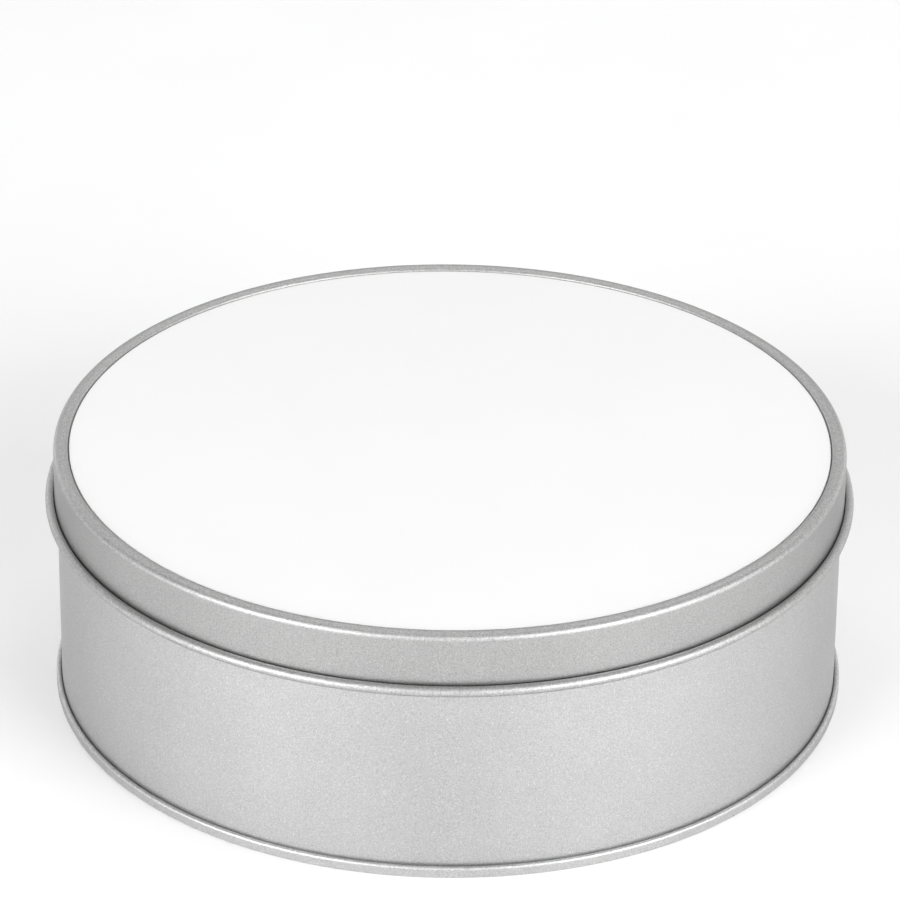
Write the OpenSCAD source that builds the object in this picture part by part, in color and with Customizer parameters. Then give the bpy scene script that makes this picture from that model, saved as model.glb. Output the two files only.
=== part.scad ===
// Round tinplate candle tin with a slip lid.
// Origin: centre of the foot, on the surface that the tin stands on. +Z is up.
// Every pressed piece is a ring of bent sheet, so its section is drawn once as (radius, height) and revolved.

/* [Body] */
// Outer diameter of the straight wall
body_d = 152; // [120:1:220]
// Height of the open tin, from foot to rim
body_h = 51; // [30:1:120]
// Thickness of the tinplate sheet
sheet_t = 0.22; // [0.18:0.01:0.24]
// Outer diameter of the rolled-in rim
rim_d = 2; // [1.6:0.1:2.4]

/* [Side seam] */
// Direction of the side seam, anticlockwise from +X seen from above
seam_az = 178; // [0:1:359]
// Width of the flattened lock seam on the inside of the wall
seam_w = 4; // [3:0.5:6]
// Width of the cut in the rim where the two ends of the sheet meet
notch_w = 0.4; // [0.3:0.1:1]
// Depth of the joint line on the outside of the wall
joint_depth = 0.08; // [0.04:0.01:0.12]

/* [Base] */
// Height of the floor inside the tin
floor_h = 5.5; // [4:0.1:8]
// Height of the seam bead round the foot
bead_h = 2.3; // [2.2:0.1:3]
// Distance that the seam bead stands out from the wall
bead_out = 1.1; // [1.1:0.05:1.4]
// Radius of the bend between the floor and the chuck wall
floor_bend = 0.8; // [0.5:0.1:1.5]
// Diameter of the pressed pip near the middle of the floor
pip_d = 3.4; // [2:0.1:6]
// Height of the pip
pip_h = 0.6; // [0.3:0.1:1]
// Distance of the pip from the middle of the floor
pip_off = 7; // [0:0.5:20]
// Direction of the pip from the middle of the floor
pip_az = 135; // [0:1:359]

/* [Lid] */
// Depth of the lid, from the top of its bead to the foot of its curl
lid_h = 12.2; // [8:0.1:20]
// Radial gap between the wall and the skirt
lid_gap = 0.25; // [0.15:0.05:0.4]
// Gap between the rim and the channel under the lid's bead, with the lid shut
rim_gap = 0.2; // [0.15:0.05:0.3]
// Outer diameter of the curl on the skirt's edge
curl_d = 2; // [1.6:0.1:2.4]
// Width of the raised bead round the lid, with its two bends
lid_bead_w = 2.8; // [2.4:0.1:3.2]
// Outer radius of the bend from the bead's flat top to the skirt
skirt_bend = 1; // [0.8:0.05:1.1]
// Outer radius of the bend from the bead's flat top down to the panel
inner_bend = 0.65; // [0.5:0.05:0.7]
// Drop from the top of the bead to the panel
panel_drop = 1.1; // [0.9:0.05:1.2]
// Distance that the lid is lifted off the tin, 0 when shut
lid_raise = 0; // [0:1:60]

/* [White disc] */
// Thickness of the adhesive under the disc
glue_t = 0.1; // [0.05:0.01:0.2]
// Thickness of the disc
disc_t = 0.45; // [0.3:0.05:0.6]
// Radial gap between the disc and the bead
disc_gap = 0.25; // [0.2:0.05:0.5]
// Width of the rounded edge on top of the disc
disc_edge = 0.15; // [0.1:0.05:0.2]
// Distance that the adhesive stays back from the disc's edge
glue_inset = 1; // [0.5:0.5:5]

/* [Hidden] */
$fn = 180;
bend_fn = 48;
wall_r = body_d / 2;
wall_ri = wall_r - sheet_t;
rim_r = rim_d / 2;
rim_end_angle = 305;
joint_end = 0.2;

// Layers of the base seam, from the chuck wall out to the seaming wall
lay_gap = 0.09;
chuck_r = wall_ri - lay_gap;
hook_r = wall_r + lay_gap;
body_hook_r = hook_r + sheet_t + lay_gap;
bead_r = wall_r + bead_out;
foot_bend = 0.5;
body_fold_r = (body_hook_r + sheet_t - wall_ri) / 2;
body_fold_z = sheet_t + lay_gap + body_fold_r;
bead_top_r = (bead_r - hook_r) / 2;
bead_top_z = bead_h - bead_top_r;
hook_end_z = body_fold_z + 0.2;
body_hook_end_z = bead_top_z - 0.05;
compound_play = 0.03;

// Lid section, from the skirt's inner face inwards
skirt_ri = wall_r + lid_gap;
skirt_r = skirt_ri + sheet_t;
lid_top = body_h + rim_gap + sheet_t;
lid_bead_ri = skirt_r - lid_bead_w;
panel_top = lid_top - panel_drop;
panel_bend = panel_drop - inner_bend + sheet_t;
curl_r = curl_d / 2;
curl_x = skirt_ri + curl_r;
curl_z = lid_top - lid_h + curl_r;
curl_end_angle = 485;

// The disc lies on the adhesive, inside the bead
disc_z = panel_top + glue_t;
disc_r = lid_bead_ri - disc_gap;

// Straight run of sheet in the section, from (x0, z0) to (x1, z1)
module run(x0, z0, x1, z1) {
  translate([x0, z0]) square([x1 - x0, z1 - z0]);
}

// Bent run of sheet: centre (x, z), outer radius r, from angle a0 to a1
module bend(x, z, r, a0, a1) {
  steps = 6;
  translate([x, z]) intersection() {
    difference() {
      circle(r = r, $fn = bend_fn);
      circle(r = r - sheet_t, $fn = bend_fn);
    }
    polygon(concat([[0, 0]], [for (i = [0:steps])
      let (a = a0 + (a1 - a0) * i / steps) 2 * r * [cos(a), sin(a)]]));
  }
}

// Turns its children to a direction round the tin
module at(az) {
  rotate([0, 0, az]) children();
}

module wall_section() {
  bend(wall_r - rim_r, body_h - rim_r, rim_r, 0, rim_end_angle);
  run(wall_ri, body_fold_z, wall_r, body_h - rim_r);
  bend(wall_ri + body_fold_r, body_fold_z, body_fold_r, 180, 360);
  run(body_hook_r, body_fold_z, body_hook_r + sheet_t, body_hook_end_z);
}

// Lock seam pressed flat against the inside of the wall, clear of the floor and of the rim
module lock_seam() {
  seam_z = floor_h + 0.3;
  seam_top = body_h - rim_d - 0.3;
  intersection() {
    rotate_extrude() run(wall_ri - 2 * sheet_t, seam_z, wall_ri, seam_top);
    at(seam_az) translate([wall_r - rim_d, -seam_w / 2, 0]) cube([2 * rim_d, seam_w, body_h]);
  }
}

module body_wall() {
  color("#c4c4c6") difference() {
    union() {
      rotate_extrude() wall_section();
      lock_seam();
    }
    at(seam_az) {
      translate([wall_r - 1.5 * rim_d, -notch_w / 2, body_h - rim_d - 0.1])
        cube([1.5 * rim_d - 2 * sheet_t, notch_w, 2 * rim_d]);
      translate([wall_r - joint_depth, seam_w / 2, bead_h + joint_end])
        cube([rim_d, notch_w / 2, body_h - rim_d - bead_h - joint_end]);
    }
  }
}

module base_section() {
  run(0, floor_h - sheet_t, chuck_r - floor_bend, floor_h);
  bend(chuck_r - floor_bend, floor_h - floor_bend, floor_bend, 0, 90);
  run(chuck_r - sheet_t, foot_bend, chuck_r, floor_h - floor_bend);
  bend(chuck_r - sheet_t + foot_bend, foot_bend, foot_bend, 180, 270);
  run(chuck_r - sheet_t + foot_bend, 0, bead_r - foot_bend, sheet_t);
  bend(bead_r - foot_bend, foot_bend, foot_bend, 270, 360);
  run(bead_r - sheet_t, foot_bend, bead_r, bead_top_z);
  bend(bead_r - bead_top_r, bead_top_z, bead_top_r, 0, 180);
  run(hook_r, hook_end_z, hook_r + sheet_t, bead_top_z);
}

// Radius of the ball whose cap is d across and h high
function cap_r(d, h) = (d * d / 4 + h * h) / (2 * h);

// A cap of a ball with its foot on height 0
module cap(d, h) {
  ball_r = cap_r(d, h);
  rotate_extrude() intersection() {
    translate([0, h - ball_r]) circle(r = ball_r);
    square([d, h]);
  }
}

// Pressed pip: a hollow cap that grows out of the middle of the floor's thickness
module pip(d, base_z) {
  at(pip_az) translate([pip_off, 0, base_z]) cap(d, pip_h + sheet_t / 2);
}

module base_end() {
  color("#b4b4b6") difference() {
    union() {
      rotate_extrude() base_section();
      pip(pip_d, floor_h - sheet_t / 2);
    }
    pip(pip_d - 2 * sheet_t, floor_h - 3 * sheet_t / 2);
  }
}

module seam_compound() {
  color("#8a9088") rotate_extrude() run(body_hook_r + sheet_t + compound_play, body_fold_z,
    bead_r - sheet_t - compound_play, body_hook_end_z);
}

module lid_section() {
  run(0, panel_top - sheet_t, lid_bead_ri + sheet_t - panel_bend, panel_top);
  bend(lid_bead_ri + sheet_t - panel_bend, lid_top - inner_bend, panel_bend, 270, 360);
  bend(lid_bead_ri + inner_bend, lid_top - inner_bend, inner_bend, 90, 180);
  run(lid_bead_ri + inner_bend, lid_top - sheet_t, skirt_r - skirt_bend, lid_top);
  bend(skirt_r - skirt_bend, lid_top - skirt_bend, skirt_bend, 0, 90);
  run(skirt_ri, curl_z, skirt_r, lid_top - skirt_bend);
  bend(curl_x, curl_z, curl_r, 180, curl_end_angle);
}

module lid_shell() {
  color("#cacacc") translate([0, 0, lid_raise]) rotate_extrude() lid_section();
}

module lid_insert() {
  color("white") translate([0, 0, disc_z + lid_raise]) {
    cylinder(r = disc_r, h = disc_t - disc_edge);
    translate([0, 0, disc_t - disc_edge]) rotate_extrude() {
      square([disc_r - disc_edge, disc_edge]);
      translate([disc_r - disc_edge, 0]) intersection() {
        circle(r = disc_edge, $fn = bend_fn);
        square(disc_edge);
      }
    }
  }
}

module insert_adhesive() {
  color("#e8e4d4") translate([0, 0, panel_top + lid_raise])
    cylinder(r = disc_r - glue_inset, h = glue_t);
}

body_wall();
base_end();
seam_compound();
lid_shell();
lid_insert();
insert_adhesive();
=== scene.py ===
import math

import bmesh
import bpy
from mathutils import Euler, Matrix, Vector


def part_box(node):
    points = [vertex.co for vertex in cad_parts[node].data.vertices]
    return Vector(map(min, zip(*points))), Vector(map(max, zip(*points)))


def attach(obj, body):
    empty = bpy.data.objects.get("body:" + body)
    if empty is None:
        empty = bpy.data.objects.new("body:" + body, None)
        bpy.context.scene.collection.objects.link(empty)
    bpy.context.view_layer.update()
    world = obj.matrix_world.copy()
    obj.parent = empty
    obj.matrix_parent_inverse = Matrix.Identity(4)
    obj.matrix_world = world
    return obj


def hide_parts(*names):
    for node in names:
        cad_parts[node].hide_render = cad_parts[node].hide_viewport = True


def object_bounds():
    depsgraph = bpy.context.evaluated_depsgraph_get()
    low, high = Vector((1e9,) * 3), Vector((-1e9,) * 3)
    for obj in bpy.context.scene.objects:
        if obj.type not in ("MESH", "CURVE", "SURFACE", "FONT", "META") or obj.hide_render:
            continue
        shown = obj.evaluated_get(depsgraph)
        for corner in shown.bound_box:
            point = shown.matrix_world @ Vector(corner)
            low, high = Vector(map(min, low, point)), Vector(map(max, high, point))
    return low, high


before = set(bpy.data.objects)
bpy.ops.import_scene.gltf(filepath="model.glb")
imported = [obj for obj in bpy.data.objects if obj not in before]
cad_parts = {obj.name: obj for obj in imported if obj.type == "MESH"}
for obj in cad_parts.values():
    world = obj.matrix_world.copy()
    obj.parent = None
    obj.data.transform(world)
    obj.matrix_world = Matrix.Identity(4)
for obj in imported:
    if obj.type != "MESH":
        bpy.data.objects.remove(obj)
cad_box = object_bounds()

# Candle tin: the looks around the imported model.
# Lengths are in millimetres until lathe() turns them into metres, and a bend's angles are in degrees.
MM = 0.001
scene = bpy.context.scene

# ---------------------------------------------------------------- driving sizes, as in the CAD model
WALL_R = 76
SHEET = 0.22
RIM_R = 1
RIM_END = 305
SEAM_AZ = 178
SEAM_W = 4
NOTCH_W = 0.4
NOTCH_BELOW_RIM = 0.1
JOINT_DEPTH = 0.08
JOINT_END = 0.2
SEAM_CLEAR = 0.3
FLOOR_H = 5.5
FLOOR_BEND = 0.8
BEAD_H = 2.3
FOOT_BEND = 0.5
LAY_GAP = 0.09
BASE_HOOK_ABOVE_FOLD = 0.2
BODY_HOOK_BELOW_TOP = 0.05
PIP_D = 3.4
PIP_H = 0.6
PIP_OFF = 7
PIP_AZ = 135
LID_GAP = 0.25
CURL_R = 1
CURL_END = 485
LID_BEAD_W = 2.8
SKIRT_BEND = 1
INNER_BEND = 0.65
PANEL_DROP = 1.1
DISC_EDGE = 0.15


def size_of(node):
    """Outer radius, lowest and highest point of a CAD node, in millimetres."""
    low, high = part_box(node)
    return high[0] / MM, low[2] / MM, high[2] / MM


_, _, BODY_H = size_of("body_wall")
BEAD_R, _, _ = size_of("base_end")
_, CURL_FOOT, LID_TOP = size_of("lid_shell")
DISC_R, DISC_Z, DISC_TOP = size_of("lid_insert")

# ---------------------------------------------------------------- mesh building
EVEN_AZIMUTHS = [math.radians(degree) for degree in range(360)]
SHARP = math.radians(40)
# Distance from a bend to the ring that keeps the flat beside it flat under smooth shading
HOLD = 0.12
# Radii of the rings across the base and the lid's panel, and across the disc
PLATE_RINGS = (10, 20, 35, 50, 65)
DISC_RINGS = (10, 35, 60)
# Wear of a point: bends are rubbed, flats are not; on tinplate it also lifts the bends' tone as a painted
# highlight
FLAT = 0.0
WORN = 1.0


def arc(x, z, r, a0, a1, step=11):
    """A bend of the sheet's middle line: centre, the sheet's outer radius there, and its two angles."""
    mid = r - SHEET / 2
    n = max(3, math.ceil(abs(a1 - a0) / step))
    turns = [math.radians(a0 + (a1 - a0) * i / n) for i in range(n + 1)]
    return [(x + mid * math.cos(t), z + mid * math.sin(t), WORN) for t in turns]


def line(x0, z0, x1, z1, extra=()):
    """A straight run of the middle line, with a ring near each end and at the extra distances along it."""
    length = math.hypot(x1 - x0, z1 - z0)
    scuffs_and_painted_highlight = [m for m in sorted({HOLD, length - HOLD, *extra}) if 0 < m < length]
    return [(x0 + (x1 - x0) * m / length, z0 + (z1 - z0) * m / length, FLAT) for m in scuffs_and_painted_highlight]


def sheet_profile(path, turned_out=0):
    """Both faces of a bent sheet from its middle line: closed loop of (radius, height, wear, side).
    Side 0 is the left of the path and side 1 its right, but the last turned_out points are a curl that
    turns the right face out, so both its faces are side 0."""
    normals = []
    for i in range(len(path)):
        before = path[max(i - 1, 0)]
        after = path[min(i + 1, len(path) - 1)]
        dx = after[0] - before[0]
        dz = after[1] - before[1]
        n = math.hypot(dx, dz)
        normals.append((-dz / n, dx / n))
    half = SHEET / 2
    sides = [1] * (len(path) - turned_out) + [0] * turned_out
    left = [(x + nx * half, z + nz * half, wear, 0) for (x, z, wear), (nx, nz) in zip(path, normals)]
    right = [(x - nx * half, z - nz * half, wear, side)
             for (x, z, wear), (nx, nz), side in zip(path, normals, sides)]
    return left + right[::-1]


def lathe(name, profile, materials, azimuths=EVEN_AZIMUTHS, shape=None):
    """Revolves a closed loop of (radius, height, wear, side) into a closed mesh, one material for each side.
    shape(radius, height, azimuth, side) may move each point's radius and height."""
    bm = bmesh.new()
    wear_layer = bm.verts.layers.float.new("wear")
    rings = []
    for r, z, wear, side in profile:
        if r == 0:
            ring = [bm.verts.new((0, 0, z * MM))] * len(azimuths)
        else:
            moved = [shape(r, z, t, side) if shape else (r, z) for t in azimuths]
            ring = [bm.verts.new((rr * MM * math.cos(t), rr * MM * math.sin(t), zz * MM))
                    for (rr, zz), t in zip(moved, azimuths)]
        for v in ring:
            v[wear_layer] = wear
        rings.append(ring)
    for i, a in enumerate(rings):
        b = rings[(i + 1) % len(rings)]
        if a[0] is a[1] and b[0] is b[1]:
            continue
        for j in range(len(azimuths)):
            k = (j + 1) % len(azimuths)
            # A point on the axis stands twice in its face, so each is taken once
            corners = list(dict.fromkeys((a[j], a[k], b[k], b[j])))
            face = bm.faces.new(corners)
            face.material_index = min(profile[i][3], len(materials) - 1)
            face.smooth = True
    bmesh.ops.recalc_face_normals(bm, faces=bm.faces)
    mesh = bpy.data.meshes.new(name)
    bm.to_mesh(mesh)
    bm.free()
    mesh.set_sharp_from_angle(angle=SHARP)
    for material in materials:
        mesh.materials.append(material)
    ob = bpy.data.objects.new(name, mesh)
    scene.collection.objects.link(ob)
    return ob


# ---------------------------------------------------------------- materials
# Depth of the relief of grain and coating
RELIEF = 0.05
# Sizes of the tinplate's features: the first three in millimetres, the others in grains
CLOUD = 14
WEAR_PATCH = 9
WAVE = 30
PIT = 1.7
SCUFF = 2.2
FLECK = 1.3
# Depth of the waves, and how strongly they show
WAVE_DEPTH = 1
WAVE_STRENGTH = 0.012
# Noise above the first value begins to show as bright flecks, and from the second they are full
FLECKS_BEGIN = 0.64
FLECKS_FULL = 0.76
# Most values of any noise lie between these two
NOISE_LOW = 0.3
NOISE_HIGH = 0.7


def node(nt, kind, **values):
    """A shader node with its properties and sockets set by name."""
    n = nt.nodes.new("ShaderNode" + kind)
    for key, value in values.items():
        if hasattr(n, key):
            setattr(n, key, value)
        else:
            n.inputs[key.replace("_", " ")].default_value = value
    return n


def noise(nt, coords, size, detail=2, roughness=0.5):
    """Noise whose grains are about size millimetres across."""
    n = node(nt, "TexNoise", Scale=1 / (size * MM), Detail=detail, Roughness=roughness)
    nt.links.new(coords, n.inputs["Vector"])
    return n.outputs["Fac"]


def remap(nt, value, low, high, to_low, to_high):
    n = node(nt, "MapRange", From_Min=low, From_Max=high, To_Min=to_low, To_Max=to_high)
    nt.links.new(value, n.inputs["Value"])
    return n.outputs["Result"]


def spread(nt, value, middle, swing):
    """Spreads noise over middle - swing to middle + swing."""
    return remap(nt, value, NOISE_LOW, NOISE_HIGH, middle - swing, middle + swing)


def maths(nt, op, a, b):
    n = node(nt, "Math", operation=op)
    nt.links.new(a, n.inputs[0])
    if isinstance(b, (int, float)):
        n.inputs[1].default_value = b
    else:
        nt.links.new(b, n.inputs[1])
    return n.outputs[0]


def bump(nt, height, strength, depth, under=None):
    n = node(nt, "Bump", Strength=strength, Distance=depth * MM)
    nt.links.new(height, n.inputs["Height"])
    if under:
        nt.links.new(under, n.inputs["Normal"])
    return n.outputs["Normal"]


def blank(name):
    m = bpy.data.materials.new(name)
    m.use_nodes = True
    nt = m.node_tree
    coords = nt.nodes.new("ShaderNodeTexCoord").outputs["Object"]
    return m, nt, nt.nodes["Principled BSDF"], coords


def finish_material(nt, bsdf, shade, dark, light, matt, normal):
    """Colour from dark to light by shade, roughness from matt, and the relief."""
    ramp = node(nt, "ValToRGB")
    ramp.color_ramp.elements[0].color = (*dark, 1)
    ramp.color_ramp.elements[1].color = (*light, 1)
    nt.links.new(shade, ramp.inputs["Fac"])
    nt.links.new(ramp.outputs["Color"], bsdf.inputs["Base Color"])
    nt.links.new(matt, bsdf.inputs["Roughness"])
    nt.links.new(normal, bsdf.inputs["Normal"])


def tinplate(name, dark, light, rough, grain, relief, sparkle, worn_rough, wear_and_highlight_lift=0.0, cloudy=0.02,
             edge_tint=0.8):
    """Tinned steel: sandy grain in colour, roughness and relief, cloudy patches, and rubbed bends.
    The grain is in millimetres. On bends the roughness is worn_rough, and the tone rises by the lift:
    partly rubbed metal, partly a painted highlight."""
    m, nt, bsdf, coords = blank(name)
    bsdf.inputs["Metallic"].default_value = 1
    bsdf.inputs["Specular Tint"].default_value = (edge_tint, edge_tint, edge_tint, 1)
    sand = noise(nt, coords, grain, detail=2.5, roughness=0.7)
    pits = noise(nt, coords, PIT * grain, detail=1.5, roughness=0.6)
    scuffs = noise(nt, coords, SCUFF * grain, detail=1.5, roughness=0.6)
    flecks = noise(nt, coords, FLECK * grain, detail=1)
    cloud = noise(nt, coords, CLOUD, detail=3, roughness=0.55)
    patches = noise(nt, coords, WEAR_PATCH, detail=3)
    wave = noise(nt, coords, WAVE, detail=1)
    bends = node(nt, "Attribute", attribute_name="wear").outputs["Fac"]
    wear = maths(nt, "MULTIPLY", bends, spread(nt, patches, middle=0.9, swing=0.1))
    bright = remap(nt, flecks, FLECKS_BEGIN, FLECKS_FULL, 0, 1.2 * sparkle)
    tone = maths(nt, "ADD", spread(nt, sand, middle=0.5, swing=sparkle),
                 maths(nt, "ADD", bright, spread(nt, cloud, middle=0, swing=cloudy)))
    # Lift of the bends' tone: scuff marks of rubbed metal and a painted highlight along rims and beads
    scuffs_and_painted_highlight = maths(nt, "MULTIPLY", wear, spread(nt, scuffs, middle=wear_and_highlight_lift, swing=0.6 * sparkle))
    matt = maths(nt, "ADD", spread(nt, sand, middle=rough, swing=0.04),
                 spread(nt, cloud, middle=0, swing=cloudy / 3))
    worn_matt = maths(nt, "ADD", matt, maths(nt, "MULTIPLY", wear, worn_rough - rough))
    waves = bump(nt, wave, WAVE_STRENGTH, WAVE_DEPTH)
    normal = bump(nt, pits, relief, RELIEF, under=waves)
    finish_material(nt, bsdf, maths(nt, "ADD", tone, scuffs_and_painted_highlight), dark, light, worn_matt, normal)
    return m


def coating(name, dark, light):
    """Smooth satin white plate with very faint mottling, unevenness and orange peel."""
    m, nt, bsdf, coords = blank(name)
    bsdf.inputs["IOR"].default_value = 1.45
    mottling = noise(nt, coords, 22)
    unevenness = noise(nt, coords, 3, detail=3)
    orange_peel = noise(nt, coords, 0.9)
    matt = spread(nt, unevenness, middle=0.36, swing=0.04)
    finish_material(nt, bsdf, mottling, dark, light, matt, bump(nt, orange_peel, 0.04, RELIEF))
    return m


def soft_solid(name, dark, light, size, rough):
    """Dull material with grains of one size in millimetres, in colour, roughness and relief."""
    m, nt, bsdf, coords = blank(name)
    grain = noise(nt, coords, size, detail=4, roughness=0.6)
    matt = spread(nt, grain, middle=rough, swing=0.1)
    finish_material(nt, bsdf, grain, dark, light, matt, bump(nt, grain, 0.3, RELIEF))
    return m


satin = tinplate("tinplate_satin", dark=(0.335, 0.335, 0.336), light=(0.70, 0.70, 0.70), rough=0.43,
                 grain=0.22, relief=0.7, sparkle=0.36, worn_rough=0.56, wear_and_highlight_lift=0.08, cloudy=0.025,
                 edge_tint=0.72)
lid_satin = tinplate("lid_satin", dark=(0.275, 0.275, 0.274), light=(0.59, 0.59, 0.588), rough=0.35,
                     grain=0.22, relief=0.7, sparkle=0.36, worn_rough=0.56, wear_and_highlight_lift=0.08, cloudy=0.025,
                     edge_tint=0.68)
inner = tinplate("tinplate_inner", dark=(0.585, 0.588, 0.575), light=(0.77, 0.773, 0.758), rough=0.42,
                 grain=0.4, relief=0.08, sparkle=0.16, worn_rough=0.40, edge_tint=0.5)
# Tinplate of the inside floor: its own grain, but a colour well above the wall's, as painted light filling
# the open tin
base_bright_painted_light = tinplate("tinplate_floor_painted_light", dark=(0.75, 0.75, 0.744), light=(0.91, 0.91, 0.904), rough=0.42,
                       grain=0.4, relief=0.05, sparkle=0.08, worn_rough=0.42)
cut_edge = tinplate("cut_edge", dark=(0.80, 0.80, 0.80), light=(0.98, 0.98, 0.98), rough=0.5,
                    grain=0.2, relief=0.2, sparkle=0.30, worn_rough=0.5, cloudy=0.025)
white = coating("white_coating", dark=(0.815, 0.817, 0.815), light=(0.84, 0.84, 0.837))
compound = soft_solid("sealing_compound", dark=(0.16, 0.18, 0.16), light=(0.26, 0.28, 0.25),
                      size=0.5, rough=0.6)
glue = soft_solid("adhesive_film", dark=(0.62, 0.60, 0.50), light=(0.78, 0.76, 0.66),
                  size=0.6, rough=0.45)

# ---------------------------------------------------------------- the tin's wall
WALL_RI = WALL_R - SHEET
WALL_MID = WALL_R - SHEET / 2
CHUCK_R = WALL_RI - LAY_GAP
HOOK_R = WALL_R + LAY_GAP
BODY_HOOK_R = HOOK_R + SHEET + LAY_GAP
FOLD_R = (BODY_HOOK_R + SHEET - WALL_RI) / 2
FOLD_Z = SHEET + LAY_GAP + FOLD_R
BEAD_TOP_R = (BEAD_R - HOOK_R) / 2
BEAD_TOP_Z = BEAD_H - BEAD_TOP_R
RIM_Z = BODY_H - RIM_R
RIM_FOOT = BODY_H - 2 * RIM_R
SEAM_FOOT = FLOOR_H + SEAM_CLEAR
SEAM_TOP = RIM_FOOT - SEAM_CLEAR
JOINT_FOOT = BEAD_H + JOINT_END
# Length over which the lock seam rises out of the wall
RAMP = 0.6
# Difference in radius up to which a point counts as one of the straight wall's
ON_WALL = 0.01
# Middle of the joint line, and half the width of its flat bottom, along the wall
SEAM_EDGE = SEAM_W / 2
GROOVE_MID = SEAM_EDGE + NOTCH_W / 4
GROOVE_FLAT = 0.03

seam_heights = (JOINT_FOOT, JOINT_FOOT + RAMP, SEAM_FOOT - RAMP, SEAM_FOOT,
                SEAM_TOP, SEAM_TOP + RAMP, RIM_FOOT)
wall_path = (arc(WALL_R - RIM_R, RIM_Z, RIM_R, RIM_END, 0)
             + line(WALL_MID, RIM_Z, WALL_MID, FOLD_Z, [RIM_Z - z for z in seam_heights])
             + arc(WALL_RI + FOLD_R, FOLD_Z, FOLD_R, 180, 360)
             + [(BODY_HOOK_R + SHEET / 2, BEAD_TOP_Z - BODY_HOOK_BELOW_TOP, FLAT)])


def step(value, low, high):
    """Smooth step from 0 at low to 1 at high."""
    t = min(max((value - low) / (high - low), 0), 1)
    return t * t * (3 - 2 * t)


def seam_distance(azimuth):
    """Distance along the wall from the side seam's middle, in millimetres."""
    turn = (azimuth - math.radians(SEAM_AZ) + math.pi) % (2 * math.pi) - math.pi
    return turn * WALL_R


def seam_shape(r, z, azimuth, side):
    """Raises the flattened lock seam on the inside and sinks the joint line on the outside."""
    s = seam_distance(azimuth)
    if side == 1 and abs(r - WALL_RI) < ON_WALL:
        across = 1 - step(abs(s), SEAM_EDGE - RAMP, SEAM_EDGE)
        along = step(z, SEAM_FOOT - RAMP, SEAM_FOOT) - step(z, SEAM_TOP, SEAM_TOP + RAMP)
        r -= 2 * SHEET * across * along
    if side == 0 and abs(r - WALL_R) < ON_WALL:
        across = 1 - step(abs(s - GROOVE_MID), GROOVE_FLAT, NOTCH_W / 3)
        along = step(z, JOINT_FOOT, JOINT_FOOT + RAMP) - step(z, RIM_FOOT, RIM_FOOT + JOINT_END)
        r -= JOINT_DEPTH * across * along
    return r, z


# Rows of points of their own: at the notch, up the lock seam's ramp and in the joint line, all as places
# along the wall from the seam's middle. The even rows keep clear of them.
ROWS_IN_RAMP = 6
ROOM_BESIDE = 1.3
beside_notch = [NOTCH_W / 2 + 0.07, NOTCH_W / 2 + 0.14, 0.6, 0.9]
up_the_ramp = [SEAM_EDGE - RAMP + RAMP * i / ROWS_IN_RAMP for i in range(ROWS_IN_RAMP + 1)]
one_side = [*beside_notch, *up_the_ramp, SEAM_EDGE + RAMP, SEAM_EDGE + 2 * RAMP]
in_groove = [GROOVE_MID + side * away for side in (-1, 1) for away in (GROOVE_FLAT, 0.07, 0.13, 0.2)]
fine_rows = sorted({0, *one_side, *(-s for s in one_side), *in_groove})
clear_of_seam = [t for t in EVEN_AZIMUTHS if abs(seam_distance(t)) > ROOM_BESIDE * fine_rows[-1]]
wall_azimuths = sorted(clear_of_seam + [math.radians(SEAM_AZ) + s / WALL_R for s in fine_rows])
wall = lathe("tin_wall", sheet_profile(wall_path), [satin, inner], wall_azimuths, seam_shape)


def cut_notch(ob):
    """Cuts the gap in the rolled rim where the two ends of the sheet meet."""
    bm = bmesh.new()
    bmesh.ops.create_cube(bm, size=1)
    cutter_mesh = bpy.data.meshes.new("notch_cutter")
    bm.to_mesh(cutter_mesh)
    bm.free()
    cutter_mesh.materials.append(cut_edge)
    cutter = bpy.data.objects.new("notch_cutter", cutter_mesh)
    scene.collection.objects.link(cutter)
    near = WALL_R - 3 * RIM_R
    far = WALL_R - 2 * SHEET
    height = 4 * RIM_R
    middle = Vector(((near + far) / 2, 0, RIM_FOOT - NOTCH_BELOW_RIM + height / 2)) * MM
    size = Vector((far - near, NOTCH_W, height)) * MM
    turn = Matrix.Rotation(math.radians(SEAM_AZ), 4, "Z")
    cutter.matrix_world = turn @ Matrix.LocRotScale(middle, None, size)
    boolean = ob.modifiers.new("notch", "BOOLEAN")
    boolean.operation = "DIFFERENCE"
    boolean.solver = "EXACT"
    boolean.object = cutter
    boolean.material_mode = "TRANSFER"
    bpy.context.view_layer.update()
    cut = bpy.data.meshes.new_from_object(ob.evaluated_get(bpy.context.evaluated_depsgraph_get()))
    cut.name = ob.name
    ob.modifiers.remove(boolean)
    # Bare metal also shows on the narrow strip of the roll beside the notch
    bare = [m.name for m in cut.materials].index(cut_edge.name)
    bare_strip = NOTCH_W / 2 + 0.16
    for face in cut.polygons:
        x, y, z = face.center / MM
        away = abs(seam_distance(math.atan2(y, x)))
        if z > RIM_FOOT and away < bare_strip and math.hypot(x, y) < WALL_R:
            face.material_index = bare
    ob.data = cut
    cut.set_sharp_from_angle(angle=SHARP)
    bpy.data.objects.remove(cutter)
    bpy.data.meshes.remove(cutter_mesh)


cut_notch(wall)
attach(wall, "tin")
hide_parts("body_wall")

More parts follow.
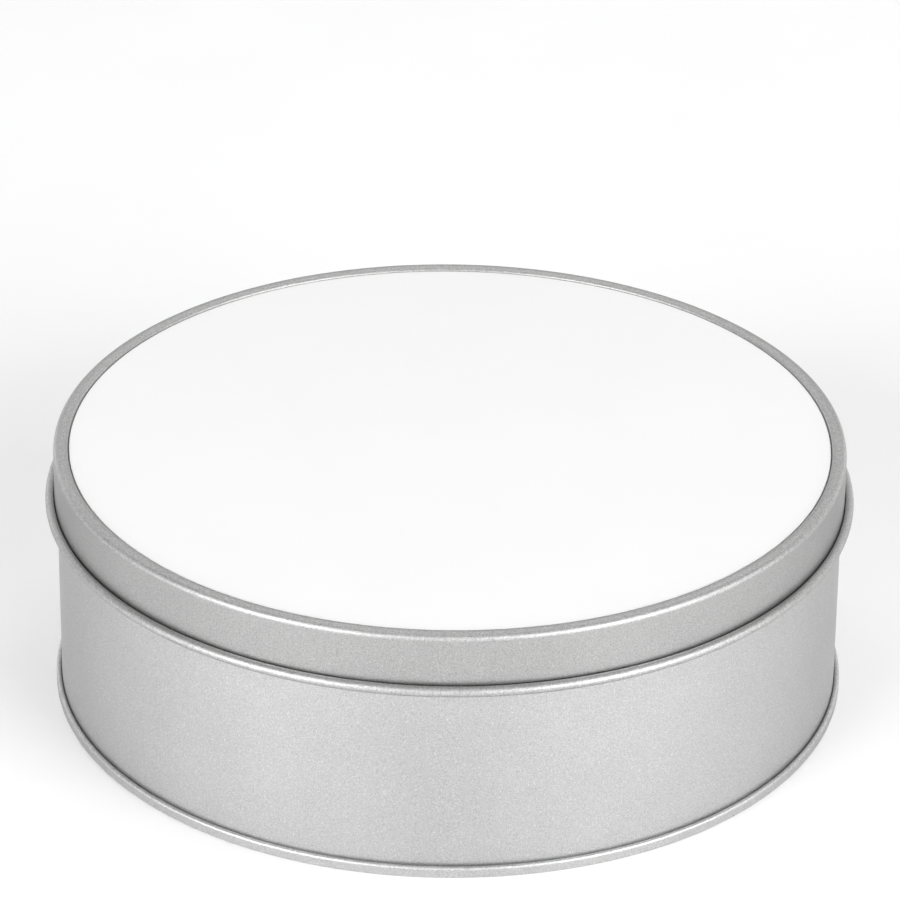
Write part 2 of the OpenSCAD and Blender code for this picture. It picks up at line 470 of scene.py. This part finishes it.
# ---------------------------------------------------------------- the base
FLOOR_MID = FLOOR_H - SHEET / 2
PIP_RING = 0.25
pip_rings = [PIP_OFF + PIP_RING * i for i in range(-8, 9)]
pip_at = Vector((math.cos(math.radians(PIP_AZ)), math.sin(math.radians(PIP_AZ)))) * PIP_OFF
floor_rings = (0, 2, 4, *pip_rings, *PLATE_RINGS, CHUCK_R - FLOOR_BEND - HOLD)
base_path = ([(r, FLOOR_MID, FLAT) for r in floor_rings]
             + arc(CHUCK_R - FLOOR_BEND, FLOOR_H - FLOOR_BEND, FLOOR_BEND, 90, 0)
             + line(CHUCK_R - SHEET / 2, FLOOR_H - FLOOR_BEND, CHUCK_R - SHEET / 2, FOOT_BEND)
             + arc(CHUCK_R - SHEET + FOOT_BEND, FOOT_BEND, FOOT_BEND, 180, 270)
             + arc(BEAD_R - FOOT_BEND, FOOT_BEND, FOOT_BEND, 270, 360)
             + line(BEAD_R - SHEET / 2, FOOT_BEND, BEAD_R - SHEET / 2, BEAD_TOP_Z)
             + arc(BEAD_R - BEAD_TOP_R, BEAD_TOP_Z, BEAD_TOP_R, 0, 180)
             + [(HOOK_R + SHEET / 2, FOLD_Z + BASE_HOOK_ABOVE_FOLD, FLAT)])


def floor_shape(r, z, azimuth, side):
    """Raises the pressed pip near the middle of the floor."""
    if r < PIP_OFF + PIP_D:
        away = (Vector((r * math.cos(azimuth), r * math.sin(azimuth))) - pip_at).length
        z += PIP_H * max(0, 1 - (2 * away / PIP_D) ** 2)
    return r, z


base = lathe("tin_base", sheet_profile(base_path), [base_bright_painted_light, satin], shape=floor_shape)
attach(base, "tin")
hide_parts("base_end")

# ---------------------------------------------------------------- the lid
SKIRT_RI = WALL_R + LID_GAP
SKIRT_R = SKIRT_RI + SHEET
SKIRT_MID = SKIRT_R - SHEET / 2
BEAD_RI = SKIRT_R - LID_BEAD_W
PANEL_MID = LID_TOP - PANEL_DROP - SHEET / 2
PANEL_BEND = PANEL_DROP - INNER_BEND + SHEET
PANEL_R = BEAD_RI + SHEET - PANEL_BEND
CURL_X = SKIRT_RI + CURL_R
CURL_Z = CURL_FOOT + CURL_R
# The bead's top is a shallow crown that turns by CROWN degrees to each side before its bends begin
CROWN = 20
CROWN_STEP = 6
sin_crown = math.sin(math.radians(CROWN))
cos_crown = math.cos(math.radians(CROWN))
crown_r = ((LID_BEAD_W - SKIRT_BEND - INNER_BEND) / sin_crown + SKIRT_BEND + INNER_BEND) / 2
crown_x = BEAD_RI + INNER_BEND + (crown_r - INNER_BEND) * sin_crown
crown_z = LID_TOP - crown_r
inner_z = crown_z + (crown_r - INNER_BEND) * cos_crown
skirt_z = crown_z + (crown_r - SKIRT_BEND) * cos_crown
lid_path = ([(r, PANEL_MID, FLAT) for r in (0, 4, *PLATE_RINGS, PANEL_R - HOLD)]
            + arc(PANEL_R, LID_TOP - INNER_BEND, PANEL_BEND, 270, 360)
            + arc(BEAD_RI + INNER_BEND, inner_z, INNER_BEND, 180, 90 + CROWN)[1:]
            + arc(crown_x, crown_z, crown_r, 90 + CROWN, 90 - CROWN, CROWN_STEP)[1:-1]
            + arc(SKIRT_R - SKIRT_BEND, skirt_z, SKIRT_BEND, 90 - CROWN, 0)
            + line(SKIRT_MID, skirt_z, SKIRT_MID, CURL_Z))
curl_path = arc(CURL_X, CURL_Z, CURL_R, 180, CURL_END)
lid = lathe("lid_shell_sheet", sheet_profile(lid_path + curl_path, len(curl_path)), [lid_satin, inner])
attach(lid, "lid")
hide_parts("lid_shell")

# ---------------------------------------------------------------- the white disc
edge_turns = [math.radians(degree) for degree in range(0, 91, 15)]
disc_edge = [(DISC_R - DISC_EDGE + DISC_EDGE * math.cos(t), DISC_TOP - DISC_EDGE + DISC_EDGE * math.sin(t))
             for t in edge_turns]
disc_foot = [(r, DISC_Z) for r in (0, *DISC_RINGS, DISC_R - 0.1, DISC_R)]
disc_top = [(r, DISC_TOP) for r in (DISC_R - 2 * DISC_EDGE, *reversed(DISC_RINGS), 0)]
disc = lathe("white_disc", [(r, z, FLAT, 0) for r, z in disc_foot + disc_edge + disc_top], [white])
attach(disc, "lid")
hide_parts("lid_insert")

for name, material in (("seam_compound", compound), ("insert_adhesive", glue)):
    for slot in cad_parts[name].material_slots:
        slot.material = material

# ---------------------------------------------------------------- camera, in metres
SENSOR = 36
LENS = 207.2
CAMERA_AT = (0, -0.8827, 0.5210)
PITCH = math.radians(28.16)
ROLL = math.radians(0.56)

cam = bpy.data.objects.new("camera", bpy.data.cameras.new("camera"))
scene.collection.objects.link(cam)
cam.data.sensor_width = SENSOR
cam.data.lens = LENS
cam.data.clip_start = 0.05
cam.data.clip_end = 20
cam.location = CAMERA_AT
look = Euler((math.pi / 2 - PITCH, 0, 0)).to_matrix().to_4x4()
cam.rotation_euler = (look @ Matrix.Rotation(ROLL, 4, "Z")).to_euler()
scene.camera = cam

# ---------------------------------------------------------------- studio, in metres
HORIZON_LIGHT = 0.85
UPPER_LIGHT = 0.32
# Height on the unit sphere where the bright horizon has faded into the upper light
HORIZON_TOP = 0.22
FLOOR_HALF = 4
# The floor glows more and more from the near to the far distance, so its far part stays near white
GLOW_NEAR = 0.5
GLOW_FAR = 2.0
GLOW = 0.55
PURE_WHITE = (1, 1, 1, 1)

scene.view_settings.view_transform = "Standard"
world = bpy.data.worlds.new("studio")
scene.world = world
world.use_nodes = True
sky_nodes = world.node_tree
sky = sky_nodes.nodes["Background"]
sky.inputs["Color"].default_value = PURE_WHITE
way_up = sky_nodes.nodes.new("ShaderNodeSeparateXYZ")
sky_nodes.links.new(sky_nodes.nodes.new("ShaderNodeTexCoord").outputs["Generated"], way_up.inputs[0])
sky_light = remap(sky_nodes, way_up.outputs["Z"], 0, HORIZON_TOP, HORIZON_LIGHT, UPPER_LIGHT)
sky_nodes.links.new(sky_light, sky.inputs["Strength"])

tin_middle = Vector((0, 0, (cad_box[0][2] + cad_box[1][2]) / 2))


def softbox(name, azimuth, elevation, distance, width, height, watts):
    """A soft light aimed at the tin. Azimuth is measured from the camera's side, positive to the right."""
    light = bpy.data.lights.new(name, "AREA")
    light.shape = "RECTANGLE"
    light.size = width
    light.size_y = height
    light.energy = watts
    ob = bpy.data.objects.new(name, light)
    scene.collection.objects.link(ob)
    a = math.radians(azimuth)
    e = math.radians(elevation)
    way = Vector((math.sin(a) * math.cos(e), -math.cos(a) * math.cos(e), math.sin(e)))
    ob.location = tin_middle + way * distance
    ob.rotation_euler = way.to_track_quat("Z", "Y").to_euler()


# The first two give the wall and the floor inside their bright bands, the next three light the bends,
# and the last two light the back and the wall's edges
softbox("softbox_left", azimuth=-45, elevation=19, distance=1.3, width=0.85, height=0.85, watts=15.3)
softbox("softbox_right", azimuth=43, elevation=19, distance=1.3, width=0.75, height=0.85, watts=14)
softbox("softbox_side", azimuth=76, elevation=28, distance=1.3, width=0.5, height=0.7, watts=3.2)
softbox("softbox_back", azimuth=180, elevation=46, distance=1.2, width=1.2, height=0.6, watts=2.8)
softbox("softbox_top", azimuth=180, elevation=82, distance=1.4, width=0.9, height=0.8, watts=2.2)
softbox("softbox_far_left", azimuth=-138, elevation=14, distance=1.3, width=0.6, height=0.7, watts=2.2)
softbox("softbox_far_right", azimuth=138, elevation=14, distance=1.3, width=0.6, height=0.7, watts=2.2)

floor_bm = bmesh.new()
bmesh.ops.create_grid(floor_bm, x_segments=8, y_segments=8, size=FLOOR_HALF)
floor_mesh = bpy.data.meshes.new("floor")
floor_bm.to_mesh(floor_mesh)
floor_bm.free()
floor = bpy.data.objects.new("floor", floor_mesh)
scene.collection.objects.link(floor)
floor_material = soft_solid("studio_floor", dark=(0.89, 0.89, 0.89), light=(0.91, 0.91, 0.91),
                            size=40, rough=0.85)
floor_nodes = floor_material.node_tree
floor_bsdf = floor_nodes.nodes["Principled BSDF"]
floor_bsdf.inputs["Emission Color"].default_value = PURE_WHITE
from_tin = node(floor_nodes, "VectorMath", operation="LENGTH")
floor_nodes.links.new(floor_nodes.nodes.new("ShaderNodeTexCoord").outputs["Object"], from_tin.inputs[0])
glow = remap(floor_nodes, from_tin.outputs["Value"], GLOW_NEAR, GLOW_FAR, 0, GLOW)
floor_nodes.links.new(glow, floor_bsdf.inputs["Emission Strength"])
floor_mesh.materials.append(floor_material)
